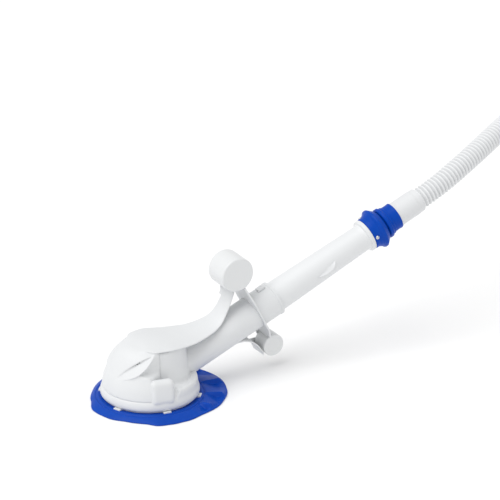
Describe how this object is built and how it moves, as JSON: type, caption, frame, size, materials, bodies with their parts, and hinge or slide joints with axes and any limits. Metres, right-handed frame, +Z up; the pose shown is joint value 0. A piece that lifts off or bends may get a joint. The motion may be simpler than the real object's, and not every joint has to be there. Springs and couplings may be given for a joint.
{
  "type": "suction pool cleaner",
  "caption": "Suction-side pool cleaner: domed head on a flexible pleated disc, inclined pipe with two deflector rollers, turning swivel and a section of corrugated hose.",
  "frame": {"origin": "centre of the suction mouth at floor level", "axes": "+Z up, away from the floor; +X along the floor below the inclined pipe, towards the hose; Y parallel to the roller axles"},
  "size_m": [1.6078, 0.3654, 0.3478],
  "materials": {
    "white_shell": "satin moulded, slightly cool white",
    "white_pipe": "satin extruded",
    "white_roller": "satin moulded",
    "white_hose": "satin corrugated",
    "blue_skirt": "satin flexible",
    "blue_swivel": "satin moulded",
    "black_rubber": "matt",
    "stainless": "turned",
    "ballast_metal": "painted casting",
    "foam": "closed cell",
    "bearing_plastic": "low friction"
  },
  "bodies": {
    "cleaner": {"lower_housing": "white_shell", "head_cover": "white_shell", "ballast_weight": "ballast_metal", "ballast_screws": "stainless", "foam_float": "foam", "body_tube": "white_shell", "collar_latch": "white_shell", "outer_pipe": "white_pipe", "pipe_seal": "black_rubber", "inner_pipe": "bearing_plastic", "diaphragm_cassette": "bearing_plastic", "diaphragm": "black_rubber", "compression_ring": "bearing_plastic", "retaining_ring": "bearing_plastic", "top_roller_axle": "stainless", "lower_roller_axle": "stainless", "axle_clips": "stainless", "roller_bracket": "white_shell", "swivel_ring": "blue_swivel", "swivel_screws": "stainless", "swivel_washer": "bearing_plastic"},
    "foot": {"foot_pad": "white_shell", "foot_retainer": "bearing_plastic", "disc_skirt": "blue_skirt"},
    "front_roller": {"top_roller": "white_roller"},
    "rear_roller": {"lower_roller": "white_roller"},
    "hose_body": {"swivel_sleeve": "blue_swivel", "swivel_seal": "black_rubber", "hose_cuff": "white_hose", "hose": "white_hose", "hose_end_cuff": "white_hose"}
  },
  "joints": [
    {"name": "foot_turn", "type": "hinge", "parent": "cleaner", "child": "foot", "pos_m": [0, 0, 0.012], "axis": [0, 0, 1], "continuous": true},
    {"name": "front_roller_spin", "type": "hinge", "parent": "cleaner", "child": "front_roller", "pos_m": [0.171, 0, 0.208], "axis": [0, 1, 0], "continuous": true},
    {"name": "rear_roller_spin", "type": "hinge", "parent": "cleaner", "child": "rear_roller", "pos_m": [0.249, 0, 0.0475], "axis": [0, 1, 0], "continuous": true},
    {"name": "hose_swivel", "type": "hinge", "parent": "cleaner", "child": "hose_body", "pos_m": [0.47917, 0, 0.21975], "axis": [0.9304, 0, 0.3665], "continuous": true}
  ]
}
